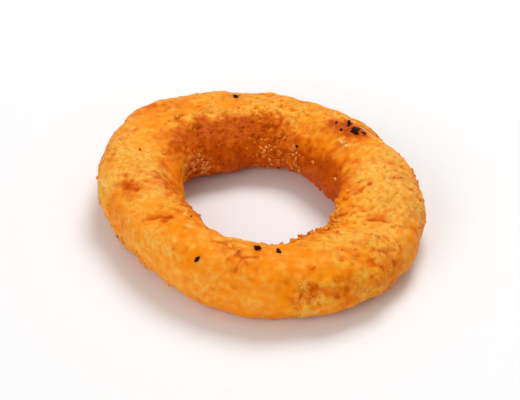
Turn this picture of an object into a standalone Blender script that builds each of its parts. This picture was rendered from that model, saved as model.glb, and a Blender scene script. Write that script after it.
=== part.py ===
"""A breaded onion ring, deep-fried, as one closed solid that rests on its underside.

The crust is a thick, slightly flattened limb round an open hole. A circle is spun round the
upright axis into a plain ring, and each of its vertices is then moved onto the real crust:
the limb's path, width and height rise and fall in a few waves, its section is squarer than
an ellipse, soft lumps and dents lie on it, and the underside is pressed flat where it rests.

Metres, +X to the right, -Y to the front and +Z up. The origin is the middle of the base.
"""

import math

import bmesh
import bpy
from mathutils import Matrix, Vector, noise

# The limb, before its waves.
LIMB_RADIUS = 0.0253
LIMB_HALF_WIDTH = 0.0087
LIMB_HALF_HEIGHT = 0.0067
SECTION_POWER = 2.3  # 2 is an ellipse, and more is squarer
PRESSED_DEPTH = 0.0009  # how much of the underside is pressed flat

# Waves round the ring: how many crests, how high, and the direction of one crest in degrees.
RADIUS_WAVES = ((2, 0.0022, 127), (3, 0.0004, 34), (4, 0.0004, 75))
WIDTH_WAVES = ((1, 0.0011, 66), (2, 0.0011, 124), (3, 0.0004, 104), (4, 0.0004, 36))
HEIGHT_WAVES = ((1, 0.0003, -130), (2, 0.0004, 18), (3, 0.0003, 25))

# Lumps: how long they are and how high.
LUMPS = ((0.0120, 0.0006), (0.0060, 0.0004), (0.0030, 0.0002))
LUMP_PLACE = Vector((3.1, 7.7, 1.9))  # where in the noise the lumps are taken from

# Dents: direction round the ring, place round the limb (0 faces out and 90 up), radius, depth.
# A negative depth is a bulge.
DENTS = (
    (191, 56, 0.0026, 0.0008),
    (211, 57, 0.0020, 0.0006),
    (284, 20, 0.0028, 0.0006),
    (335, 93, 0.0024, 0.0006),
    (40, 88, 0.0022, 0.0007),
    (120, 95, 0.0060, 0.0005),
    (232, 120, 0.0040, 0.0005),
    (2, 185, 0.0024, 0.0011),
    (30, 40, 0.0040, 0.0006),
    (72, 205, 0.0035, 0.0009),
    (143, 195, 0.0030, 0.0013),
    (282, 160, 0.0036, 0.0009),
    (18, 190, 0.0030, -0.0008),
    (171, 192, 0.0055, -0.0034),
    (120, 205, 0.0040, -0.0006),
    (128, 55, 0.0060, -0.0011),
    (183, 8, 0.0032, -0.0009),
    (340, 165, 0.0045, -0.0010),
)

# Facets.
STEPS_ROUND_RING = 96
STEPS_ROUND_LIMB = 34

# The finish.
CRUST_COLOUR = (0.84, 0.35, 0.06, 1.0)
CRUST_ROUGHNESS = 0.55


def clear_scene():
    for obj in list(bpy.data.objects):
        bpy.data.objects.remove(obj)


def waves(direction, crests):
    """The sum of the waves at this direction round the ring, in radians."""
    return sum(
        height * math.cos(count * (direction - math.radians(crest)))
        for count, height, crest in crests
    )


def squared(share):
    """A sine or cosine of the section's angle, pushed outwards so that the section is squarer."""
    return math.copysign(abs(share) ** (2 / SECTION_POWER), share)


def smooth_limb(direction, place):
    """The point and outward normal of the limb before lumps and dents, standing on the base."""
    outwards = Vector((math.cos(direction), math.sin(direction), 0))
    upwards = Vector((0, 0, 1))
    half_width = LIMB_HALF_WIDTH + waves(direction, WIDTH_WAVES)
    half_height = LIMB_HALF_HEIGHT + waves(direction, HEIGHT_WAVES)
    across, up = math.cos(place), math.sin(place)
    radius = LIMB_RADIUS + waves(direction, RADIUS_WAVES) + half_width * squared(across)
    point = outwards * radius + upwards * half_height * (1 + squared(up))
    normal = outwards * across / half_width + upwards * up / half_height
    return point, normal.normalized()


def dent_centres():
    """Each dent's middle on the smooth limb, with its radius and depth."""
    return [
        (smooth_limb(math.radians(direction), math.radians(place))[0], radius, depth)
        for direction, place, radius, depth in DENTS
    ]


def relief(point, dents):
    """How far the crust stands out from the smooth limb at this point."""
    swell = sum(
        height * noise.noise(point / length + LUMP_PLACE) for length, height in LUMPS
    )
    dip = sum(
        depth * math.exp(-(((point - centre).length / radius) ** 2))
        for centre, radius, depth in dents
    )
    return swell - dip


def crust_point(ring_point, dents):
    """Where a vertex of the plain ring lies on the crust."""
    direction = math.atan2(ring_point.y, ring_point.x)
    place = math.atan2(ring_point.z, ring_point.xy.length - LIMB_RADIUS)
    point, normal = smooth_limb(direction, place)
    return point + normal * relief(point, dents)


def plain_ring(bm):
    """A circle of the limb's section, spun once round the upright axis."""
    stand_up = Matrix.Rotation(math.pi / 2, 4, "X")
    section = bmesh.ops.create_circle(
        bm,
        segments=STEPS_ROUND_LIMB,
        radius=LIMB_HALF_WIDTH,
        matrix=Matrix.Translation((LIMB_RADIUS, 0, 0)) @ stand_up,
    )
    edges = {edge for vert in section["verts"] for edge in vert.link_edges}
    bmesh.ops.spin(
        bm,
        geom=section["verts"] + list(edges),
        cent=(0, 0, 0),
        axis=(0, 0, 1),
        angle=math.tau,
        steps=STEPS_ROUND_RING,
        use_merge=True,
    )
    bmesh.ops.recalc_face_normals(bm, faces=bm.faces)


def press_underside(bm):
    """Lowers the crust until its lowest points pass the base, and flattens what is below it."""
    lowest = min(vert.co.z for vert in bm.verts)
    bmesh.ops.translate(bm, verts=bm.verts, vec=(0, 0, -lowest - PRESSED_DEPTH))
    for vert in bm.verts:
        vert.co.z = max(vert.co.z, 0.0)


def centre_over_origin(bm):
    """Puts the middle of the crust's box on the upright axis."""
    middle = Vector((0, 0, 0))
    for axis in (0, 1):
        places = [vert.co[axis] for vert in bm.verts]
        middle[axis] = (min(places) + max(places)) / 2
    bmesh.ops.translate(bm, verts=bm.verts, vec=-middle)


def crust_material():
    material = bpy.data.materials.new("fried_crust")
    material.use_nodes = True
    shader = material.node_tree.nodes["Principled BSDF"]
    shader.inputs["Base Color"].default_value = CRUST_COLOUR
    shader.inputs["Roughness"].default_value = CRUST_ROUGHNESS
    shader.inputs["Metallic"].default_value = 0.0
    return material


def build_onion_ring():
    bm = bmesh.new()
    plain_ring(bm)
    dents = dent_centres()
    for vert in bm.verts:
        vert.co = crust_point(vert.co, dents)
    press_underside(bm)
    centre_over_origin(bm)
    mesh = bpy.data.meshes.new("onion_ring")
    bm.to_mesh(mesh)
    bm.free()
    mesh.shade_smooth()
    mesh.materials.append(crust_material())
    ring = bpy.data.objects.new("onion_ring", mesh)
    bpy.context.scene.collection.objects.link(ring)


clear_scene()
build_onion_ring()
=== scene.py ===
# %% [markdown]
# # A fried onion ring
#
# An onion ring is a slice of onion in batter and breadcrumbs, fried until its crust is golden.
# What shows is only crust: a fat limb round a hole, smooth where the batter ran thick, rough
# where crumbs stuck, and dotted with loose crumbs, some pale, some toasted and a few burnt.
#
# The packed model gives the ring's true size and rough form. This lesson copies that form, makes
# its skin fine enough to carve, raises crumbs and pits on it, and then sticks loose crumbs to it.
# Everything stays in the model's own place, so the first step is to load it and note its box.

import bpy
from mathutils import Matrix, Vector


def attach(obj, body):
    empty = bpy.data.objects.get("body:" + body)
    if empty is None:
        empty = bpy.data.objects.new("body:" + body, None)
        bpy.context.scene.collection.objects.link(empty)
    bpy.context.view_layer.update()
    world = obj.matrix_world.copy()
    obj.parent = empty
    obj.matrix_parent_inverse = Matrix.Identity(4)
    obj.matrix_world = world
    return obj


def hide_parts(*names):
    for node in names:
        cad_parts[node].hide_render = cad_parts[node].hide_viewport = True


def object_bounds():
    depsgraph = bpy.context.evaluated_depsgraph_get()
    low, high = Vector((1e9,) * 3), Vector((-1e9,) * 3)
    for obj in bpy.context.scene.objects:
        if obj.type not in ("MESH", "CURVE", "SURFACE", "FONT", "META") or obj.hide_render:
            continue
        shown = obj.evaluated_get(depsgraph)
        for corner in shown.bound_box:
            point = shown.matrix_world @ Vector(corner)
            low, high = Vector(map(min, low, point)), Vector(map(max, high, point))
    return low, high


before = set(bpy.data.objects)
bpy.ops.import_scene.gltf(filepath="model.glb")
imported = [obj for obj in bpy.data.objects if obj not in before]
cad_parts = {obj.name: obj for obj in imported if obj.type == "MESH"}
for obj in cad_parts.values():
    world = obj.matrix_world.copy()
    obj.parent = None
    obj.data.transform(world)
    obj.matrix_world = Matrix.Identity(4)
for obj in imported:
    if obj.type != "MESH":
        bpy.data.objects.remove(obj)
cad_low, cad_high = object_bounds()
print("packed ring, mm:", [round(1000 * side, 1) for side in cad_high - cad_low])

# %% [markdown]
# ## Tools and units
#
# Blender works in metres, but a crust is easier to think of in millimetres, so sizes are written
# as a number times MM. One seeded random generator makes every draw, in a fixed order, and
# Blender's noise gets a seed as well, because its vectors would otherwise start from the clock.
# So the ring comes out the same on each run.

# %% Tools and units
import math
import random
from collections import namedtuple

import bmesh
import bpy
from mathutils import Matrix, Vector, noise
from mathutils.bvhtree import BVHTree

MM = 0.001
UP = Vector((0, 0, 1))
draws = random.Random(7)
noise.seed_set(7)


def clamp(value, low=0.0, high=1.0):
    return max(low, min(high, value))


def ease(value, start, end):
    """0 before start, 1 after end, and a soft S between them."""
    share = clamp((value - start) / (end - start))
    return share * share * (3 - 2 * share)


def noise_at(point, length, seed=0):
    """Smooth noise, about -0.7 to 0.7, whose lumps are this long in metres."""
    return noise.noise(point / length + Vector((seed * 17.3, seed * 5.1, seed * 9.7)))


# %% [markdown]
# ## An even skin of small faces
#
# The packed solid has facets about two millimetres long, too coarse for crumbs. Subdividing it
# would keep its long and short facets side by side, so a voxel remesh is used instead: it pours
# an even net of small squares over the same form. Smoothing then melts the old facets away.
# The copy is merged first, because the packed mesh is loose triangles.

# %% An even skin of small faces
SKIN_STEP = 0.345 * MM
MERGE_DISTANCE = 0.001 * MM
SMOOTHING_ROUNDS = 60
SMOOTHING_SHARE = 0.5

packed_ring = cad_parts["onion_ring"]


def new_object(name, mesh):
    piece = bpy.data.objects.new(name, mesh)
    bpy.context.scene.collection.objects.link(piece)
    return piece


def applied(piece):
    """The piece's mesh with its modifiers applied."""
    graph = bpy.context.evaluated_depsgraph_get()
    return bpy.data.meshes.new_from_object(piece.evaluated_get(graph))


def even_skin(source, step):
    bm = bmesh.new()
    bm.from_mesh(source.data)
    bmesh.ops.remove_doubles(bm, verts=bm.verts, dist=MERGE_DISTANCE)
    mesh = bpy.data.meshes.new("crust")
    bm.to_mesh(mesh)
    bm.free()
    crust = new_object("crust", mesh)
    remesh = crust.modifiers.new("even_faces", "REMESH")
    remesh.mode = "VOXEL"
    remesh.voxel_size = step
    crust.data = applied(crust)
    crust.modifiers.clear()
    return crust


crust = even_skin(packed_ring, SKIN_STEP)
crust_bm = bmesh.new()
crust_bm.from_mesh(crust.data)
for _ in range(SMOOTHING_ROUNDS):
    bmesh.ops.smooth_vert(
        crust_bm,
        verts=crust_bm.verts,
        factor=SMOOTHING_SHARE,
        use_axis_x=True,
        use_axis_y=True,
        use_axis_z=True,
    )
crust_bm.normal_update()
print("skin faces:", len(crust_bm.faces))

# %% [markdown]
# ## Finding a place on the ring
#
# A place on the crust is easiest to name by two angles: the direction round the ring, with 0 to
# the right, 90 to the back, 180 to the left and 270 to the front, and the place round the limb,
# with 0 facing out, 90 facing up and 180 facing the hole. To turn them into a point, a ray is
# shot from the middle of the limb. The limb's middle is found by two more rays, from the middle
# of the hole outwards and from outside inwards.

# %% Finding a place on the ring
skin_tree = BVHTree.FromBMesh(crust_bm)
HALF_HEIGHT = (cad_high.z - cad_low.z) / 2
FAR = 1.0
SECTORS = 72
INNER_START = 0.7 * MM  # inwards from the limb's middle, where the hole's wall begins
INNER_END = 8.4 * MM  # and where it is fully reached


def outwards(direction):
    angle = math.radians(direction)
    return Vector((math.cos(angle), math.sin(angle), 0))


def limb_edges(direction):
    """How far from the upright axis the limb's inner and outer sides are."""
    out = outwards(direction)
    middle = UP * HALF_HEIGHT
    inner = skin_tree.ray_cast(middle, out)[3]
    outer = FAR - skin_tree.ray_cast(middle + out * FAR, -out)[3]
    return inner, outer


LIMB_EDGES = [limb_edges(360 * sector / SECTORS) for sector in range(SECTORS)]


def limb_middle(direction):
    sector = round(direction % 360 / 360 * SECTORS) % SECTORS
    return outwards(direction) * sum(LIMB_EDGES[sector]) / 2 + UP * HALF_HEIGHT


def on_crust(direction, place):
    """The point and outward normal of the crust at this direction and place."""
    across = math.cos(math.radians(place))
    upward = math.sin(math.radians(place))
    aim = outwards(direction) * across + UP * upward
    point, normal, _, _ = skin_tree.ray_cast(limb_middle(direction), aim)
    return point, normal


def facing_hole(point):
    """1 on the side of the limb that faces the hole, 0 on the outer side, for any point."""
    middle = limb_middle(math.degrees(math.atan2(point.y, point.x)))
    return ease(middle.xy.length - point.xy.length, INNER_START, INNER_END)


print("hole across, mm:", round(1000 * (LIMB_EDGES[0][0] + LIMB_EDGES[SECTORS // 2][0]), 1))

# %% [markdown]
# ## Where the crust is rough, brown or pale
#
# No two parts of a fried crust are alike. Each patch below is a direction and a place, a reach in
# millimetres and a strength, and fades out softly. Rough patches hold crumbs; a negative strength
# smooths the batter. Toasted patches are browner; those on the wall of the hole, at a place of 125
# and more, are painted shade as well as browning, and a negative strength there lessens the shade.
# Pale ones are where dry crumbs stay yellow.

# %% Where the crust is rough, brown or pale
ROUGH_PATCHES = (
    (137, 182, 5.0, 0.5), (110, 158, 9.0, 0.45), (218, 130, 4.0, 0.3), (253, 100, 5.0, 0.6),
    (286, 10, 3.4, 0.8), (316, 14, 7.0, 0.2), (300, 150, 5.0, 0.4), (325, 150, 5.0, 0.5),
    (350, 120, 4.0, 0.2), (38, 80, 4.0, 0.7), (84, 120, 5.0, 0.7), (82, 160, 6.0, 0.6),
    (65, 90, 6.0, 0.3), (165, 50, 4.0, 0.4), (193, 65, 3.0, 0.5), (216, 60, 2.5, 0.5),
    (235, 31, 9.0, -0.8), (262, 20, 8.0, -0.8), (278, 65, 6.0, -0.6), (20, 120, 6.0, -0.5),
    (152, 110, 5.0, -0.6), (242, 75, 5.0, -0.4), (200, 5, 6.0, -0.4), (328, 40, 5.0, -0.25),
)
# Toasted patches; those at a place of 125 and more lie on the wall of the hole and are painted shade
# as well as browning.
TOASTED_AND_SHADED_PATCHES = (
    (193, 66, 2.1, 0.5), (189, 60, 1.2, 0.2), (216, 60, 1.2, 0.4), (222, 72, 0.9, 0.5),
    (213, 52, 0.8, 0.4), (286, 8, 2.2, 0.28), (328, 76, 1.5, 0.45), (33, 76, 2.2, 0.9),
    (45, 88, 2.8, 0.6), (38, 82, 6.0, 0.25), (318, 6, 6.0, 0.1), (48, 140, 5.0, -0.25),
    (84, 125, 3.5, 0.5), (131, 158, 6.0, 0.25), (112, 155, 7.0, 0.5), (95, 160, 6.0, 0.4),
    (60, 192, 6.0, 0.4), (35, 185, 5.0, 0.4), (12, 175, 5.0, 0.7), (254, 96, 3.0, 0.3),
    (0, 12, 6.0, 0.2), (340, 10, 6.0, 0.05), (18, 22, 5.0, 0.2), (205, -5, 7.0, 0.15),
    (135, 200, 6.0, 0.15), (218, 140, 3.0, 0.3), (300, -10, 8.0, 0.1), (62, 130, 6.0, -0.3),
    (62, 92, 7.0, 0.1), (316, 142, 5.0, -0.35), (338, 140, 4.0, -0.2), (250, 140, 5.0, -0.15),
    (186, 60, 1.7, 0.2), (183, 68, 1.5, 0.15),
)
PALE_PATCHES = (
    (342, 63, 7.0, 0.9), (320, 68, 5.0, 0.5), (0, 75, 6.0, 0.8), (352, 100, 5.0, 0.4),
    (175, 120, 5.0, 0.4), (178, 80, 7.0, 0.4), (205, 45, 3.0, 0.5), (183, 28, 3.0, 0.6),
    (196, 100, 5.0, 0.4), (225, 30, 4.0, 0.2), (284, 27, 2.0, 0.2), (62, 100, 7.0, -0.5),
    (28, 112, 3.0, 0.4), (193, 66, 2.2, -0.9), (131, 93, 2.5, -0.5), (328, 76, 1.6, -0.8),
    (312, 4, 7.0, -0.3), (322, 22, 4.0, -0.2), (238, 45, 8.0, 0.35), (38, 84, 5.0, -0.4),
    (155, 75, 7.0, 0.25),
)
PALE_DOTS = (
    (220, 35, 0.7, 0.9), (222, 30, 0.6, 0.8), (234, 55, 0.7, 0.9), (225, 25, 0.6, 0.8),
    (234, 38, 0.8, 0.8), (242, 59, 0.6, 0.8), (234, 95, 0.9, 0.9), (206, 30, 0.7, 0.7),
)


def placed(patches):
    """Each patch's middle on the crust, with its reach in metres and its strength."""
    return [
        (on_crust(direction, place)[0], reach * MM, strength)
        for direction, place, reach, strength in patches
    ]


ROUGH = placed(ROUGH_PATCHES)
TOASTED_AND_SHADED = placed(TOASTED_AND_SHADED_PATCHES)
PALE = placed(PALE_PATCHES + PALE_DOTS)
print("patches:", len(ROUGH) + len(TOASTED_AND_SHADED) + len(PALE))

# %% [markdown]
# ## Asking how rough, toasted or pale a point is
#
# Between the patches, noise decides: a wide layer makes broad regions and a fine one mottles
# them. Three functions answer for any point of the crust, and both the carving and the colour
# ask them, so that rough parts also look rough. The wall of the hole is browner and less pale,
# as painted shade as well as browning.

# %% Asking how rough, toasted or pale a point is
# Painted shade on the wall of the hole, with some browning: it is made browner and less pale.
HOLE_TOAST_AND_SHADE = 0.45
HOLE_PALE = -0.4


def patch_sum(point, patches):
    return sum(
        strength * math.exp(-(((point - middle).length / reach) ** 2))
        for middle, reach, strength in patches
    )


def mottled(point, middle, *layers):
    """A middle value varied by layers of noise, each given as share, length in mm and seed."""
    return middle + sum(
        share * noise_at(point, length * MM, seed) for share, length, seed in layers
    )


def roughness_of(point):
    """How crumbly the crust is at a point, from 0 for smooth batter to 1."""
    return clamp(mottled(point, 0.32, (0.7, 6.0, 1), (0.4, 2.5, 2)) + patch_sum(point, ROUGH))


def toast_and_shade_of(point):
    """How brown the crust is at a point, from 0 to 1: browning, with painted shade on the wall of
    the hole.
    """
    wide = mottled(point, 0.18, (0.45, 9.0, 8), (0.4, 1.3, 9)) + patch_sum(point, TOASTED_AND_SHADED)
    return clamp(wide + HOLE_TOAST_AND_SHADE * facing_hole(point))


def pale_of(point):
    """How dry and pale the crust is at a point, from 0 to 1; less pale on the wall of the hole, as
    painted shade.
    """
    wide = mottled(point, 0.18, (0.5, 7.0, 12), (0.6, 1.5, 13)) + patch_sum(point, PALE)
    return clamp(wide + HOLE_PALE * facing_hole(point))


on_top = on_crust(270, 90)[0]
asked = (roughness_of(on_top), toast_and_shade_of(on_top), pale_of(on_top))
print("front top, rough, toasted and pale:", [round(share, 2) for share in asked])

# %% [markdown]
# ## Layers of relief
#
# The skin is moved in or out along its normals by a few layers of relief. Swells and short
# ridges are the batter's own unevenness. A crumb bed is crumbs packed side by side: Voronoi
# cells, each raised to its own height, with a crease where two meet. Pits are where a bubble
# burst. A sculpted surface like this could be painted by hand with brushes; in code, noise gives
# the same variety in a few lines, and real geometry keeps the rough outline that bump would lose.

# %% Layers of relief
Bed = namedtuple("Bed", "size share height")
Pits = namedtuple("Pits", "spacing radius depth seed")

SWELL = 0.38 * MM
RIDGE = 0.30 * MM
LARGE_BED = Bed(size=2.6 * MM, share=0.5, height=0.29 * MM)
COARSE_BED = Bed(size=1.4 * MM, share=0.55, height=0.24 * MM)
FINE_BED = Bed(size=0.85 * MM, share=0.6, height=0.16 * MM)
WIDE_PITS = Pits(spacing=3.1 * MM, radius=0.75 * MM, depth=0.18 * MM, seed=11)
SMALL_PITS = Pits(spacing=2.2 * MM, radius=0.6 * MM, depth=0.072 * MM, seed=23)
DOME_REACH = 0.85  # in cells
CREASE = 0.3  # in cells
CELL_SPREAD = 91.7  # large, so that neighbouring cells take unlike heights
FOLD_LENGTH = 2.6 * MM
FOLD_SHARPNESS = 2.6


def stirred(point, length, amount, seed):
    """The point moved about by noise, so that what is drawn there looks stirred, not cellular."""
    return point + amount * noise.noise_vector(point / length + Vector((seed, seed, seed)))


def crumb_bed(point, bed):
    """Height of rounded crumbs packed side by side; only the bed's share of them stands up."""
    distances, middles = noise.voronoi(point / bed.size)[:2]
    own_height = ease(noise.cell(middles[0] * CELL_SPREAD), 1 - 2 * bed.share, 1.0)
    dome = max(1 - (distances[0] / DOME_REACH) ** 2, 0.0)
    return bed.height * own_height * dome * ease(distances[1] - distances[0], 0.0, CREASE)


def ridges(point):
    """Short sharp wrinkles, up or down."""
    folded = 1 - FOLD_SHARPNESS * abs(noise_at(point, FOLD_LENGTH, 5))
    return RIDGE * folded * mottled(point, 0.5, (1.0, 5.0, 6))


def pit_depth(point, pits):
    """Depth of round pits, about one in each cell of their spacing."""
    shifted = point / pits.spacing + Vector((pits.seed, pits.seed, pits.seed))
    distance = noise.voronoi(shifted)[0][0] * pits.spacing
    return pits.depth * (1 - ease(distance, 0.3 * pits.radius, pits.radius))


def swell(point):
    """The batter's wide unevenness."""
    return SWELL * mottled(point, 0.0, (1.0, 4.2, 3), (0.5, 1.9, 4))


def at_least(least, rough):
    """A layer's strength: its least on smooth batter, and 1 on the roughest crust."""
    return least + (1 - least) * rough


def detail(point, rough):
    """Everything finer than the swell."""
    stirred_once = stirred(point, length=2.0 * MM, amount=0.7 * MM, seed=3)
    stirred_point = stirred(stirred_once, length=0.7 * MM, amount=0.22 * MM, seed=5)
    return (
        at_least(0.3, rough) * ridges(stirred_point)
        + rough * (crumb_bed(stirred_point, LARGE_BED) + crumb_bed(stirred_point, COARSE_BED))
        + at_least(0.15, rough) * crumb_bed(point, FINE_BED)
        - at_least(0.1, rough) * (pit_depth(point, WIDE_PITS) + pit_depth(point, SMALL_PITS))
    )


print("relief on the front top, mm:", round(1000 * detail(on_top, roughness_of(on_top)), 2))

# %% [markdown]
# ## Marks with a place of their own
#
# Noise gives a crust its grain, but some marks are single events: a fold in the batter, a burst
# bubble, a lip where batter ran down. Each stroke follows a few stops on the crust, given as
# direction and place, then its width and height in millimetres; a negative height carves a
# crease. A burst bubble has one stop, a radius and a depth.

# %% Marks with a place of their own
CREASES = (
    (((213, 46), (216, 61), (223, 84)), 0.45, -0.42),
    (((249, 90), (254, 98), (258, 88)), 0.35, -0.24),
    (((263, 74), (262, 60), (261, 44)), 0.32, -0.24),
    (((258, 100), (263, 74), (269, 82)), 0.30, -0.20),
    (((342, 136), (347, 118), (351, 102)), 0.45, -0.32),
    (((326, 98), (328, 78), (329, 55)), 0.45, -0.30),
    (((300, 30), (298, 14), (297, 0)), 0.60, -0.12),
    (((50, 84), (45, 92), (40, 94)), 0.35, -0.30),
    (((45, 62), (42, 72), (36, 70)), 0.35, -0.30),
    (((92, 92), (87, 112), (84, 138)), 0.40, -0.32),
    (((81, 98), (78, 126), (80, 156)), 0.40, -0.32),
    (((314, 40), (317, 24), (318, 6)), 0.50, -0.15),
    (((322, 44), (324, 28), (323, 12)), 0.45, -0.14),
    (((309, 28), (312, 12), (311, -4)), 0.45, -0.13),
    (((332, 30), (335, 14), (334, -4)), 0.50, -0.15),
    (((128, 88), (132, 97), (137, 100)), 0.40, -0.30),
    (((236, 110), (240, 122), (238, 136)), 0.35, -0.24),
    (((20, 20), (24, 6), (22, -12)), 0.45, -0.26),
    (((117, 88), (120, 110), (126, 136)), 1.10, -0.30),
    (((100, 20), (104, 4), (101, -14)), 0.45, -0.28),
    (((170, -4), (176, -14), (184, -20)), 0.40, -0.26),
)
RIDGES = (
    (((311, 126), (312, 84), (317, 54), (324, 44)), 0.60, 0.34),
    (((307, 104), (311, 64), (316, 36)), 0.55, 0.30),
    (((318, 120), (321, 86), (329, 62)), 0.50, 0.28),
    (((334, 110), (338, 84), (345, 66)), 0.60, 0.30),
    (((328, 112), (332, 92), (341, 80)), 0.45, 0.24),
    (((339, 60), (347, 54), (356, 58)), 0.50, 0.24),
    (((352, 98), (356, 76), (4, 62)), 0.60, 0.28),
    (((123, 80), (126, 106), (132, 138)), 0.80, 0.55),
    (((230, 130), (236, 116), (244, 108)), 0.40, 0.22),
    (((294, 60), (300, 40), (304, 14)), 0.70, 0.24),
    (((60, 70), (70, 84), (74, 104)), 0.55, 0.30),
    (((170, 70), (177, 84), (176, 104)), 0.60, 0.26),
    (((200, 84), (204, 66), (201, 48)), 0.50, 0.24),
)
LIPS = (
    (((54, 59), (46, 57), (40, 58)), 0.46, 0.30),
    (((37, 58), (30, 57), (24, 56)), 0.46, 0.34),
    (((22, 55), (15, 53), (8, 52)), 0.50, 0.34),
    (((186, 34), (182, 27), (178, 18)), 0.50, 0.26),
    (((150, 24), (140, 18), (128, 20)), 0.50, 0.22),
    (((33, 112), (28, 114), (24, 110)), 0.45, 0.16),
    (((226, 108), (223, 116), (219, 122)), 0.36, 0.16),
)
BUBBLES = (
    (159, 52, 0.55, 0.34), (165, 48, 0.55, 0.34), (169, 48, 0.45, 0.28), (158, 28, 0.45, 0.28),
    (166, 89, 0.45, 0.26), (155, 60, 0.45, 0.26), (131, 93, 0.85, 0.44), (222, 69, 0.55, 0.32),
    (187, 116, 0.70, 0.20), (165, 172, 0.55, 0.26), (169, 133, 0.80, 0.18), (286, 0, 0.85, 0.42),
    (288, 20, 0.60, 0.34), (287, 8, 0.75, 0.40), (283, 6, 0.45, 0.30), (279, 30, 0.75, 0.30),
    (279, 7, 0.55, 0.26), (300, 50, 0.65, 0.30), (306, 44, 0.60, 0.30), (327, 136, 0.55, 0.28),
    (294, 4, 0.90, 0.22), (191, 58, 0.80, 0.30), (196, 70, 0.60, 0.26), (188, 72, 0.50, 0.22),
    (30, 66, 0.60, 0.36), (38, 84, 0.70, 0.40), (86, 150, 0.60, 0.30), (352, 40, 0.60, 0.28),
)
STROKE_REACH = 16 * MM  # no stroke is longer


def routes(strokes):
    """Each stroke's stops on the crust, with its width and height in metres."""
    return [
        ([on_crust(direction, place)[0] for direction, place in stops], width * MM, height * MM)
        for stops, width, height in strokes
    ]


def gap_to_route(point, stops):
    """How far the point is from the nearest piece of the route, which may be one stop."""
    gaps = [(point - stops[0]).length]
    for start, end in zip(stops, stops[1:]):
        along = end - start
        share = clamp((point - start).dot(along) / along.length_squared)
        gaps.append((point - start - along * share).length)
    return min(gaps)


def stroke_sum(point, strokes):
    """The strokes' height at a point, and how strongly any of them is felt there, 0 to 1."""
    height = strongest = 0.0
    for stops, width, top in strokes:
        if (point - stops[0]).length > STROKE_REACH:
            continue
        felt = math.exp(-((gap_to_route(point, stops) / width) ** 2))
        height += top * felt
        strongest = max(strongest, felt)
    return height, strongest


sunk_marks = routes(CREASES) + routes(
    (((direction, place),), radius, -depth) for direction, place, radius, depth in BUBBLES
)
raised_marks = routes(RIDGES)
lip_marks = routes(LIPS)
print("marks:", len(sunk_marks) + len(raised_marks) + len(lip_marks))

# %% [markdown]
# ## Moving the skin
#
# Now every vertex of the skin gets its height. The marks are looked up at a stirred point, so
# that no stroke is straight. What was felt of creases and lips is kept for the colour. The mean
# height is taken off again, so the ring neither grows nor shrinks, and nothing may sink below
# the base on which the ring rests.

# %% Moving the skin
STROKE_STIR = 0.5 * MM
STROKE_WAVE = 1.6 * MM

heights, details, sunk, lipped = [], [], [], []
for vert in crust_bm.verts:
    stirred_place = stirred(vert.co, STROKE_WAVE, STROKE_STIR, seed=9)
    groove, groove_felt = stroke_sum(stirred_place, sunk_marks)
    ridge, _ = stroke_sum(stirred_place, raised_marks)
    lip, lip_felt = stroke_sum(stirred_place, lip_marks)
    details.append(detail(vert.co, roughness_of(vert.co)) + groove + ridge + lip)
    heights.append(swell(vert.co) + details[-1])
    sunk.append(groove_felt)
    lipped.append(lip_felt)
mean_height = sum(heights) / len(heights)
mean_detail = sum(details) / len(details)
for vert, height in zip(crust_bm.verts, heights):
    vert.co += vert.normal * (height - mean_height)
    vert.co.z = max(vert.co.z, 0.0)
crust_bm.normal_update()
print("relief, mm:", round(1000 * min(heights), 2), "to", round(1000 * max(heights), 2))

# %% [markdown]
# ## Painting browning, light and shade into the mesh
#
# Hot oil browns what lies thin. On top of that, light and shade are painted in: crevices and
# creases look deeper in colour as painted shade, and what stands proud is lighter as a painted
# highlight. Five numbers for each vertex carry this to the material. A shader could work some of
# them out, but only the mesh knows where its hollows are. A crevice is where a vertex lies below
# the average of its neighbours, and stands says how high the vertex lies in its own relief.

# %% Painting browning, light and shade into the mesh
CREVICE_DEPTH = 0.035 * MM
RELIEF_SPAN = 0.42 * MM
# Painted shade in creases and burst bubbles, which are made browner.
GROOVE_SHADE = 0.35
LIP_LIGHT = 1.5  # past 1, where the lips get a pale painted highlight


def neighbours(vert):
    return [edge.other_vert(vert) for edge in vert.link_edges]


def hollow(vert):
    """How far a vertex lies below its neighbours, along its normal."""
    others = neighbours(vert)
    middle = sum((other.co for other in others), Vector()) / len(others)
    return (middle - vert.co).dot(vert.normal)


def softened(bm, values):
    """Each vertex's value averaged with its neighbours' values."""
    return [
        (value + sum(values[other.index] for other in neighbours(vert))) / (1 + len(vert.link_edges))
        for vert, value in zip(bm.verts, values)
    ]


def paint(bm, name, values):
    layer = bm.verts.layers.float.get(name) or bm.verts.layers.float.new(name)
    for vert, value in zip(bm.verts, values):
        vert[layer] = value


crust_bm.verts.index_update()
# Browning, with painted shade in creases, burst bubbles and on the wall of the hole.
toasts_and_shade = [
    clamp(toast_and_shade_of(vert.co) + GROOVE_SHADE * felt) for vert, felt in zip(crust_bm.verts, sunk)
]
# Paleness, and along the lips a painted highlight past 1.
pales_and_lip_light = [max(pale_of(vert.co), LIP_LIGHT * felt) for vert, felt in zip(crust_bm.verts, lipped)]
# How deep each vertex lies in a hollow, for painted shade in crevices and a painted highlight on
# their edges.
crevices = [clamp(hollow(vert) / CREVICE_DEPTH, -1, 1) for vert in crust_bm.verts]
# How high each vertex stands in its relief, for a painted highlight on high parts and painted shade
# on low ones.
stands = [clamp(0.5 + (height - mean_detail) / RELIEF_SPAN) for height in details]
paint(crust_bm, "toasted", toasts_and_shade)
paint(crust_bm, "pale", pales_and_lip_light)
paint(crust_bm, "crevice", softened(crust_bm, crevices))
paint(crust_bm, "stands", stands)
paint(crust_bm, "rough", [roughness_of(vert.co) for vert in crust_bm.verts])
crust_bm.to_mesh(crust.data)
crust.data.shade_smooth()
print("crust faces:", len(crust.data.polygons))

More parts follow.
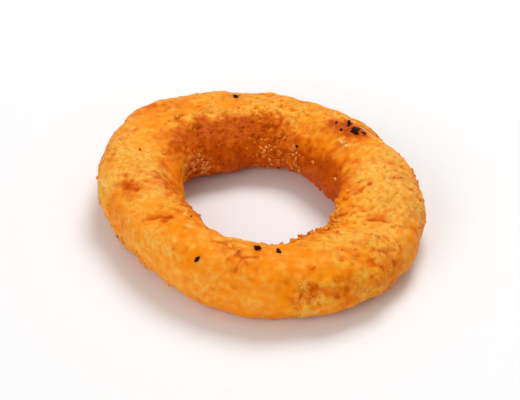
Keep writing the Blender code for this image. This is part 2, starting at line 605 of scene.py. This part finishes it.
# %% [markdown]
# ## A short way to write materials
#
# A material is a small net of nodes. In the shader editor it is joined up by hand; in code, one
# helper for each kind of node keeps the recipe readable. Every pattern is drawn on the object's
# own coordinates, in metres, so it stays with the ring and nothing has to be unwrapped. A value
# that never changes is set on the socket itself, and only real patterns are linked.

# %% A short way to write materials
class Nodes:
    """A short way to add nodes to a material and join them."""

    def __init__(self, name):
        self.material = bpy.data.materials.new(name)
        self.material.use_nodes = True
        self.tree = self.material.node_tree
        self.shader = self.tree.nodes["Principled BSDF"]
        self.place = self.add("ShaderNodeTexCoord").outputs["Object"]

    def add(self, kind, **settings):
        node = self.tree.nodes.new(kind)
        for name, value in settings.items():
            setattr(node, name, value)
        return node

    def feed(self, socket, source):
        """Links source to the socket if it is an output, or else sets it as the value."""
        if isinstance(source, bpy.types.NodeSocket):
            self.tree.links.new(source, socket)
        else:
            socket.default_value = source

    def noise(self, length, detail=2.0, roughness=0.5, shift=0.0):
        """Noise from 0 to 1 whose lumps are this long in metres."""
        moved = self.add("ShaderNodeVectorMath", operation="ADD")
        self.feed(moved.inputs[0], self.place)
        moved.inputs[1].default_value = (shift, shift, shift)
        node = self.add("ShaderNodeTexNoise")
        self.feed(node.inputs["Vector"], moved.outputs[0])
        node.inputs["Scale"].default_value = 1 / length
        node.inputs["Detail"].default_value = detail
        node.inputs["Roughness"].default_value = roughness
        return node.outputs["Fac"]

    def between(self, value, low, high, to_low=0.0, to_high=1.0):
        """value mapped softly from low..high to to_low..to_high, and held there."""
        node = self.add("ShaderNodeMapRange", interpolation_type="SMOOTHSTEP")
        for socket, source in zip(node.inputs[:5], (value, low, high, to_low, to_high)):
            self.feed(socket, source)
        return node.outputs[0]

    def math(self, operation, first, second, limit=False):
        node = self.add("ShaderNodeMath", operation=operation, use_clamp=limit)
        self.feed(node.inputs[0], first)
        self.feed(node.inputs[1], second)
        return node.outputs[0]

    def mix(self, share, first, second):
        node = self.add("ShaderNodeMix", data_type="RGBA")
        factor, _, _, _, _, _, colour_a, colour_b = node.inputs[:8]
        self.feed(factor, share)
        self.feed(colour_a, first)
        self.feed(colour_b, second)
        return node.outputs[2]

    def painted(self, name):
        return self.add("ShaderNodeAttribute", attribute_name=name).outputs["Fac"]

    def bump(self, height, distance, strength, below=None):
        node = self.add("ShaderNodeBump")
        node.inputs["Distance"].default_value = distance
        node.inputs["Strength"].default_value = strength
        self.feed(node.inputs["Height"], height)
        if below is not None:
            self.feed(node.inputs["Normal"], below)
        return node.outputs[0]


print("node helpers:", [name for name in vars(Nodes) if not name.startswith("_")])

# %% [markdown]
# ## The colours of fried crust
#
# Fried crust is orange and slightly see-through, and oil makes it shine in small, warm spots.
# The colour starts golden, gets a painted highlight where the relief stands up and goes deeper
# low in the relief as painted shade. Smooth batter is even and orange. Thin folds and painted pale
# parts are dry and yellow, and crests go yellow as a painted highlight. Toasted parts go brown
# after that, and crevices get brown painted shade with a painted highlight on their edges,
# because brown covers the rest. Only the lips get a pale painted highlight on top.

# %% The colours of fried crust
GOLD = (0.87, 0.225, 0.002, 1)
LIGHT_GOLD = (0.86, 0.335, 0.010, 1)
BATTER = (0.94, 0.265, 0.002, 1)
DEEP_ORANGE = (0.68, 0.115, 0.001, 1)
TOAST_AND_SHADE_BROWN = (0.36, 0.036, 0.001, 1)
DRY_CRUMB_AND_HIGHLIGHT = (0.87, 0.485, 0.085, 1)
LIP_HIGHLIGHT = (0.93, 0.53, 0.19, 1)


def golden_batter(nodes, mottle, stands, rough):
    """Gold, with a painted highlight where it stands up, deeper in random patches, painted shade low
    down, plain where smooth.
    """
    # Random mottling plus a painted highlight: the higher a vertex stands, the lighter the gold.
    mottle_and_highlight = nodes.math("MULTIPLY", nodes.math("ADD", mottle, stands), 0.5)
    colour = nodes.mix(nodes.between(mottle_and_highlight, 0.38, 0.64), GOLD, LIGHT_GOLD)
    patches = nodes.noise(2.0 * MM, detail=4, shift=0.17)
    colour = nodes.mix(nodes.between(patches, 0.48, 0.66, 0.0, 0.55), colour, DEEP_ORANGE)
    # Painted shade: low in the relief the colour goes deep orange.
    colour = nodes.mix(nodes.between(stands, 0.5, 0.05, 0.0, 0.7), colour, DEEP_ORANGE)
    return nodes.mix(nodes.between(rough, 0.3, 0.0, 0.0, 0.7), colour, BATTER)


def dryness_and_crest_highlight(nodes, pale, stands, rough):
    """How dry the crust looks, from 0 to 1, with the crests made yellow as a painted highlight."""
    patches = nodes.noise(2.2 * MM, detail=4, roughness=0.6, shift=0.71)
    # Painted highlight: the crests are made dry yellow.
    crests = nodes.between(stands, 0.55, 0.95, 0.0, 0.8)
    crests = nodes.math("MAXIMUM", nodes.between(patches, 0.46, 0.60, 0.0, 0.7), crests)
    dry = nodes.math("ADD", nodes.math("MULTIPLY", crests, rough), pale, limit=True)
    folds = nodes.math("SUBTRACT", nodes.noise(1.5 * MM, detail=2, shift=0.61), 0.5)
    folds = nodes.between(nodes.math("ABSOLUTE", folds, 0.0), 0.045, 0.01, 0.0, 0.9)
    dry = nodes.math("MAXIMUM", dry, nodes.math("MULTIPLY", folds, rough))
    flecks = nodes.noise(0.8 * MM, detail=3, roughness=0.6, shift=0.93)
    return nodes.math("MULTIPLY", dry, nodes.between(flecks, 0.38, 0.6, 0.35, 1.0))


def browned_and_shaded(nodes, colour, mottle, toasted, crevice, rough):
    """The colour with orange freckles, toasted parts, painted shade in crevices and a painted
    highlight on their edges.
    """
    freckles = nodes.noise(0.8 * MM, detail=2, shift=0.43)
    freckles = nodes.math("MULTIPLY", nodes.between(freckles, 0.56, 0.70, 0.0, 0.6), rough)
    colour = nodes.mix(freckles, colour, DEEP_ORANGE)
    # toasted carries browning and painted shade from the wall of the hole, creases and burst
    # bubbles.
    toast_and_shade = nodes.math("MULTIPLY", toasted, nodes.between(mottle, 0.35, 0.65, 1.0, 0.8))
    colour = nodes.mix(nodes.between(toast_and_shade, 0.2, 0.75, 0.0, 0.9), colour, DEEP_ORANGE)
    colour = nodes.mix(nodes.between(toast_and_shade, 0.5, 1.2, 0.0, 0.9), colour, TOAST_AND_SHADE_BROWN)
    # Painted shade: crevices are darkened towards brown.
    colour = nodes.mix(nodes.between(crevice, 0.1, 0.9, 0.0, 0.3), colour, TOAST_AND_SHADE_BROWN)
    # Painted highlight: the raised edges of crevices are made light gold.
    return nodes.mix(nodes.between(crevice, -0.2, -0.9, 0.0, 0.4), colour, LIGHT_GOLD)


print("from gold to brown:", GOLD[:3], TOAST_AND_SHADE_BROWN[:3])

# %% [markdown]
# ## The crust's finish
#
# The material reads the five painted numbers and hands them to the steps above. Grain varies the
# gloss, and two layers of bump add what is too small to model. Light that enters the crust
# spreads a little way, red furthest, which is what makes food look soft.

# %% The crust's finish
PAINTED = ("toasted", "pale", "crevice", "stands", "rough")
WARM_SHINE = (1.0, 0.55, 0.16, 1)
LIGHT_REACH = 1.1 * MM
CRUST_SOFTNESS = 0.28
CRUST_SHINE = 0.12


def soft_food(nodes, softness, shine):
    """Light enters the crust a little way, red furthest, and the oil on it shines warm."""
    shader = nodes.shader
    shader.inputs["Subsurface Weight"].default_value = softness
    shader.inputs["Subsurface Radius"].default_value = (1.0, 0.3, 0.08)
    shader.inputs["Subsurface Scale"].default_value = LIGHT_REACH
    shader.inputs["Specular IOR Level"].default_value = shine
    shader.inputs["Specular Tint"].default_value = WARM_SHINE


def crust_finish(name, softness):
    nodes = Nodes(name)
    toasted, pale, crevice, stands, rough = (nodes.painted(layer) for layer in PAINTED)
    mottle = nodes.noise(1.7 * MM, detail=4, roughness=0.55)
    grain = nodes.noise(0.55 * MM, detail=3, roughness=0.6, shift=0.31)
    fine_grain = nodes.noise(0.22 * MM, detail=3, roughness=0.65, shift=0.53)
    # Dry patches, and the crests as a painted highlight, turn yellow.
    dry = nodes.math("MULTIPLY", dryness_and_crest_highlight(nodes, pale, stands, rough), 0.9)
    colour = nodes.mix(dry, golden_batter(nodes, mottle, stands, rough), DRY_CRUMB_AND_HIGHLIGHT)
    colour = browned_and_shaded(nodes, colour, mottle, toasted, crevice, rough)
    # Painted highlight along the lips, where pale goes past 1.
    colour = nodes.mix(nodes.between(pale, 1.0, 1.4, 0.0, 0.9), colour, LIP_HIGHLIGHT)
    nodes.feed(nodes.shader.inputs["Base Color"], colour)
    nodes.feed(nodes.shader.inputs["Roughness"], nodes.between(grain, 0.3, 0.7, 0.42, 0.66))
    normal = nodes.bump(grain, 0.10 * MM, 0.5)
    nodes.feed(nodes.shader.inputs["Normal"], nodes.bump(fine_grain, 0.05 * MM, 0.5, normal))
    soft_food(nodes, softness, CRUST_SHINE)
    return nodes.material


crust.data.materials.clear()
crust.data.materials.append(crust_finish("fried_crust", CRUST_SOFTNESS))
print("finish:", crust.data.materials[0].name)

# %% [markdown]
# ## Where crumbs lie
#
# Crumbs stick at random, but more thickly in some parts than in others. So a crumb's spot is a
# face of the crust drawn by lot, and each face's chance grows with its area and with how thick
# crumbs lie there. None are put close to the floor, where they would be rubbed off. A few crumbs
# that matter to the look are given a direction, a place and a radius of their own.

# %% Where crumbs lie
BASE_CLEARANCE = 0.9 * MM
SMALL_SHARE = 2.2  # above 1, small crumbs are commoner than large ones

FACE_SPOTS = [
    (face.calc_center_median(), face.normal.copy(), face.calc_area()) for face in crust_bm.faces
]


def spots(count, density):
    """Random faces of the crust, likelier where density, a function of the point, is high."""
    weights = [
        area * max(density(point), 0.0) if point.z > BASE_CLEARANCE else 0.0
        for point, _, area in FACE_SPOTS
    ]
    chosen = draws.choices(FACE_SPOTS, weights=weights, k=count)
    return [(point, normal) for point, normal, _ in chosen]


def sized(chosen, smallest, largest):
    """The chosen spots with a random radius each."""
    return [
        (point, normal, smallest + (largest - smallest) * draws.random() ** SMALL_SHARE)
        for point, normal in chosen
    ]


def placed_crumbs(places):
    """A spot and radius for each direction, place and radius in millimetres."""
    return [(*on_crust(direction, place), radius * MM) for direction, place, radius in places]


print("faces to choose from:", len(FACE_SPOTS))

# %% [markdown]
# ## Making crumbs
#
# Breadcrumbs are small, angular and all different. Each is an icosphere, of twenty faces at
# detail 1 or eighty at detail 2, with its corners pulled about, stretched, turned at random and
# sunk partly into the crust. A particle system would scatter them too, but its copies are lost
# when the model is exported, so they are real mesh. A bmesh operator walks over the whole bmesh
# each time, so crumbs are made in small batches, which are then poured together.

# %% Making crumbs
BATCH = 120
CrumbLook = namedtuple("CrumbLook", "detail flatness sunk uneven")


def empty_bmesh(names):
    """A new bmesh whose vertices carry a painted number of each name."""
    bm = bmesh.new()
    for name in names:
        bm.verts.layers.float.new(name)
    return bm


def crumb_frame(point, normal, radius, look):
    """Turns a ball of radius 1 into a stretched and tilted one, partly sunk into the crust."""
    stretch = (1.0, draws.uniform(0.6, 1.0), look.flatness * draws.uniform(0.8, 1.2))
    lay = normal.to_track_quat("Z", "Y").to_matrix().to_4x4()
    spin = Matrix.Rotation(draws.uniform(0, math.tau), 4, "Z")
    tilt = Matrix.Rotation(draws.uniform(-1, 1), 4, "X")
    size = Matrix.Diagonal((*(radius * share for share in stretch), 1))
    centre = Matrix.Translation(point + normal * radius * stretch[2] * (1 - 2 * look.sunk))
    return centre @ lay @ spin @ tilt @ size


def add_crumb(bm, spot, look, painted):
    """One crumb on the crust, with painted numbers for its vertices."""
    radius = spot[2]
    ball = bmesh.ops.create_icosphere(
        bm, subdivisions=look.detail, radius=1, matrix=crumb_frame(*spot, look)
    )
    for vert in ball["verts"]:
        if look.detail == 1:
            vert.co += radius * Vector([draws.uniform(-look.uneven, look.uneven) for _ in range(3)])
        else:
            vert.co += look.uneven * radius * noise.noise_vector(vert.co / (0.8 * radius))
        for name, value in painted.items():
            vert[bm.verts.layers.float[name]] = value


def crumbs(name, chosen, look, painted_at):
    """One piece holding a crumb at each chosen spot, given with its radius."""
    names = painted_at(Vector()).keys()
    poured = empty_bmesh(names)
    batch_mesh = bpy.data.meshes.new("batch")
    for start in range(0, len(chosen), BATCH):
        batch = empty_bmesh(names)
        for spot in chosen[start:start + BATCH]:
            add_crumb(batch, spot, look, painted_at(spot[0]))
        batch.to_mesh(batch_mesh)
        batch.free()
        poured.from_mesh(batch_mesh)
    bpy.data.meshes.remove(batch_mesh)
    mesh = bpy.data.meshes.new(name)
    poured.to_mesh(mesh)
    poured.free()
    mesh.shade_smooth()
    print(name, "crumbs:", len(chosen), "faces:", len(mesh.polygons))
    return new_object(name, mesh)


# %% [markdown]
# ## Golden crumbs
#
# Most crumbs are the colour of the crust, so they wear the crust's own finish and take the
# painted numbers of the place where they lie. They are thickest on the back wall of the hole
# and rare on smooth batter.

# %% Golden crumbs
CRUMB_PATCHES = (
    (285, 148, 4.0, 0.5), (316, 8, 7.0, 0.4), (286, 12, 3.0, 0.8), (137, 182, 4.0, 0.8),
    (75, 182, 6.0, 1.0), (38, 80, 4.0, 0.5), (84, 128, 5.0, 1.4), (110, 155, 8.0, 1.0),
    (350, 10, 8.0, 0.3), (195, 5, 7.0, 0.35), (218, 5, 6.0, 0.35), (165, 10, 6.0, 0.5),
    (15, 5, 7.0, 0.5),
)
CRUMBY = placed(CRUMB_PATCHES)


def golden_density(point):
    clump = 0.2 + ease(noise_at(point, 1.5 * MM, 15), 0.0, 0.4)
    return clump * (0.01 + 0.02 * roughness_of(point) + patch_sum(point, CRUMBY))


def crust_paint(point):
    """A crumb's own shade of the crust where it lies."""
    return {
        "toasted": clamp(toast_and_shade_of(point) + draws.uniform(-0.2, 0.15)),
        "pale": clamp(pale_of(point) + draws.uniform(-0.4, 0.1)),
        # The crumbs take a random share of the crust's painted shade and painted highlight.
        "crevice": draws.uniform(-0.3, 0.1),
        "stands": draws.uniform(0.3, 0.7),
        "rough": 0.8,
    }


golden = crumbs(
    "golden_crumbs",
    sized(spots(900, golden_density), 0.18 * MM, 0.58 * MM),
    CrumbLook(detail=1, flatness=0.65, sunk=0.55, uneven=0.40),
    crust_paint,
)

# %% [markdown]
# ## Crumbs on the rim
#
# On the front right, crumbs crowd the upper edge of the hole and stand out from it like teeth.
# Most are scattered small ones. Ten taller ones, given as direction, place and radius, make the
# uneven edge itself.

# %% Crumbs on the rim
RIM_PATCHES = (
    (288, 155, 2.4, 0.8), (300, 156, 2.4, 1.2), (312, 156, 2.4, 1.2), (324, 156, 2.6, 1.2),
    (336, 158, 2.4, 0.5), (350, 160, 3.0, 0.1), (270, 155, 2.4, 0.5), (215, 160, 3.0, 0.15),
)
RIM_TEETH = (
    (281, 141, 0.42), (287, 142, 0.55), (293, 144, 0.46), (299, 146, 0.62), (305, 148, 0.50),
    (310, 149, 0.66), (317, 152, 0.50), (325, 156, 0.72), (332, 160, 0.56), (340, 164, 0.60),
)
RIM = placed(RIM_PATCHES)


def rim_density(point):
    return patch_sum(point, RIM)


rim_crumbs = crumbs(
    "rim_crumbs",
    sized(spots(110, rim_density), 0.26 * MM, 0.75 * MM),
    CrumbLook(detail=1, flatness=0.75, sunk=0.42, uneven=0.45),
    crust_paint,
)
rim_teeth = crumbs(
    "rim_teeth",
    placed_crumbs(RIM_TEETH),
    CrumbLook(detail=1, flatness=1.25, sunk=0.32, uneven=0.40),
    crust_paint,
)

# %% [markdown]
# ## Toasted crumbs
#
# Small crumbs brown first. They gather where the crust itself is toasted, and most where it is
# rough as well. Each has one painted number, its tint, which picks its shade later on.

# %% Toasted crumbs
DARK_SHARE = 1.4  # above 1, dark crumbs are commoner than light ones


def own_tint(point):
    """A crumb's place between its kind's dark and light colours."""
    return {"tint": draws.random() ** DARK_SHARE}


def toasted_density(point):
    return toast_and_shade_of(point) ** 2 * (0.3 + roughness_of(point))


toasted = crumbs(
    "toasted_crumbs",
    sized(spots(90, toasted_density), 0.14 * MM, 0.34 * MM),
    CrumbLook(detail=1, flatness=0.6, sunk=0.55, uneven=0.30),
    own_tint,
)

# %% [markdown]
# ## Pale flakes
#
# A few crumbs stayed out of the hottest oil and are pale, dry and flaky. They sit in clusters on
# the left and back walls of the hole, and a few lie by themselves.

# %% Pale flakes
FLAKE_CLUSTERS = (
    (142, 176, 1.5, 1.0), (136, 186, 1.5, 1.0), (131, 196, 1.3, 1.0), (139, 182, 1.5, 1.0),
    (88, 181, 2.0, 0.7), (72, 190, 2.6, 0.6), (60, 184, 1.8, 0.6), (78, 170, 3.0, 0.25),
)
SINGLE_FLAKES = (
    (28, 112, 0.62), (72, 190, 0.50), (59, 180, 0.42), (64, 196, 0.50), (38, 168, 0.45),
    (345, 147, 0.42), (8, 163, 0.40), (87, 182, 0.50), (82, 179, 0.46), (92, 205, 0.42),
    (283, 27, 0.34), (286, 29, 0.30), (284, 16, 0.30), (260, 76, 0.36), (34, 64, 0.34),
)
FLAKY = placed(FLAKE_CLUSTERS)


def flake_density(point):
    return patch_sum(point, FLAKY)


flakes = crumbs(
    "pale_flakes",
    sized(spots(110, flake_density), 0.24 * MM, 0.7 * MM) + placed_crumbs(SINGLE_FLAKES),
    CrumbLook(detail=2, flatness=0.6, sunk=0.5, uneven=1.0),
    own_tint,
)

# %% [markdown]
# ## Burnt specks
#
# Burnt crumbs are nearly black and few. The large ones have chosen places; tiny ones are
# scattered thinly where the crust is toasted.

# %% Burnt specks
BURNT = (
    (269, 109, 0.78), (278, 103, 0.56), (246, 44, 0.62), (60, 162, 0.48), (33, 79, 1.15),
    (35, 72, 0.95), (41, 67, 0.70), (30, 68, 0.55), (40, 92, 0.45), (46, 84, 0.40),
    (228, 118, 0.30), (165, 89, 0.26), (100, 40, 0.52), (120, 10, 0.40), (200, -20, 0.36),
    (350, -15, 0.42),
)
TINY = 0.12 * MM

tiny_specks = [(point, normal, TINY) for point, normal in spots(10, toast_and_shade_of)]
burnt = crumbs(
    "burnt_specks",
    placed_crumbs(BURNT) + tiny_specks,
    CrumbLook(detail=2, flatness=0.6, sunk=0.4, uneven=0.7),
    own_tint,
)

# %% [markdown]
# ## The crumbs' finish
#
# Golden and rim crumbs wear the crust's recipe, but without softness: light that spreads inside
# anything so small turns it a dull green. The other three kinds share one recipe with colours of
# their own. Each crumb's tint picks its shade, and fine noise varies it a little over each face.

# %% The crumbs' finish
BURNT_COLOURS = ((0.010, 0.002, 0.001, 1), (0.085, 0.011, 0.003, 1))
TOASTED_COLOURS = ((0.42, 0.06, 0.002, 1), (0.70, 0.13, 0.003, 1))
FLAKE_COLOURS = ((0.80, 0.19, 0.016, 1), (0.96, 0.42, 0.10, 1))
CRUMB_SHINE = 0.1
TINT_CHANGE = 0.25
GLOSS_CHANGE = 0.1


def crumb_finish(name, colours, roughness):
    nodes = Nodes(name)
    grain = nodes.noise(0.3 * MM, detail=3, roughness=0.6)
    varied = nodes.between(grain, 0.3, 0.7, -TINT_CHANGE, TINT_CHANGE)
    shade = nodes.math("ADD", nodes.painted("tint"), varied, limit=True)
    gloss = nodes.between(grain, 0.3, 0.7, roughness - GLOSS_CHANGE, roughness + GLOSS_CHANGE)
    nodes.feed(nodes.shader.inputs["Base Color"], nodes.mix(shade, *colours))
    nodes.feed(nodes.shader.inputs["Roughness"], gloss)
    nodes.feed(nodes.shader.inputs["Normal"], nodes.bump(grain, 0.06 * MM, 0.5))
    soft_food(nodes, 0.0, CRUMB_SHINE)
    return nodes.material


golden_finish = crust_finish("golden_crumb", 0.0)
for piece in (golden, rim_crumbs, rim_teeth):
    piece.data.materials.append(golden_finish)
toasted.data.materials.append(crumb_finish("toasted_crumb", TOASTED_COLOURS, roughness=0.5))
flakes.data.materials.append(crumb_finish("dry_flake", FLAKE_COLOURS, roughness=0.6))
burnt.data.materials.append(crumb_finish("burnt_crumb", BURNT_COLOURS, roughness=0.6))
print("materials:", [material.name for material in bpy.data.materials])

# %% [markdown]
# ## Riding on the packed model
#
# The ring has one body, so every piece rides on it. The crust stands for the packed solid, which
# is then hidden.

# %% Riding on the packed model
for piece in (crust, golden, rim_crumbs, rim_teeth, toasted, flakes, burnt):
    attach(piece, "root")
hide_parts("onion_ring")
crust_bm.free()

# %% [markdown]
# ## Floor and backdrop
#
# The ring lies on a wide, flat, pale floor. A studio backdrop usually curves up behind, but its
# bend would show from low views, and the bright world beyond the floor does the same job.

# %% Floor and backdrop
FLOOR_SIZE = 4.0
FLOOR_DROP = 0.05 * MM


def floor_finish():
    nodes = Nodes("white_floor")
    speckle = nodes.noise(2 * MM, detail=2)
    nodes.feed(
        nodes.shader.inputs["Base Color"],
        nodes.mix(speckle, (0.86, 0.86, 0.86, 1), (0.88, 0.88, 0.88, 1)),
    )
    nodes.shader.inputs["Roughness"].default_value = 0.6
    return nodes.material


floor_bm = bmesh.new()
floor_place = Matrix.Translation(-UP * FLOOR_DROP)
bmesh.ops.create_grid(
    floor_bm, x_segments=1, y_segments=1, size=FLOOR_SIZE / 2, matrix=floor_place
)
floor_mesh = bpy.data.meshes.new("floor")
floor_bm.to_mesh(floor_mesh)
floor_bm.free()
floor = new_object("floor", floor_mesh)
floor_mesh.materials.append(floor_finish())
print("floor, m:", FLOOR_SIZE)

# %% [markdown]
# ## Light
#
# Food on white is lit softly: a wide lamp above and a little behind gives the top its glow and
# drops a faint shadow in front, a weaker lamp fills the front, and a pale world fills the rest.

# %% Light
AIM = Vector((0, 0, 0.4 * cad_high.z))
WORLD_STRENGTH = 0.46


def soft_lamp(name, place, size, power):
    lamp = bpy.data.lights.new(name, "AREA")
    lamp.shape = "DISK"
    lamp.size = size
    lamp.energy = power
    holder = bpy.data.objects.new(name, lamp)
    holder.location = place
    holder.rotation_euler = (AIM - holder.location).to_track_quat("-Z", "Y").to_euler()
    bpy.context.scene.collection.objects.link(holder)


soft_lamp("key_lamp", place=Vector((0.12, 0.28, 0.55)), size=0.35, power=2.45)
soft_lamp("fill_lamp", place=Vector((-0.35, -0.5, 0.35)), size=0.5, power=1.8)

world = bpy.data.worlds.new("studio")
world.use_nodes = True
background = world.node_tree.nodes["Background"]
background.inputs["Color"].default_value = (1, 1, 1, 1)
background.inputs["Strength"].default_value = WORLD_STRENGTH
bpy.context.scene.world = world
bpy.context.scene.view_settings.view_transform = "Standard"
print("lamps:", len(bpy.data.lights))

# %% [markdown]
# ## Camera
#
# A long lens from about half a metre keeps the ring's shape true. It looks down at 37 degrees
# from the front.

# %% Camera
CAMERA_DISTANCE = 0.55
CAMERA_ELEVATION = math.radians(37)
CAMERA_LENS = 185

back = Vector((0, -math.cos(CAMERA_ELEVATION), math.sin(CAMERA_ELEVATION)))
camera = bpy.data.objects.new("camera", bpy.data.cameras.new("camera"))
camera.data.lens = CAMERA_LENS
camera.data.clip_start = 0.01
camera.location = AIM + back * CAMERA_DISTANCE
camera.rotation_euler = (-back).to_track_quat("-Z", "Y").to_euler()
bpy.context.scene.collection.objects.link(camera)
bpy.context.scene.camera = camera
print("camera at, m:", [round(value, 3) for value in camera.location])

# %% [markdown]
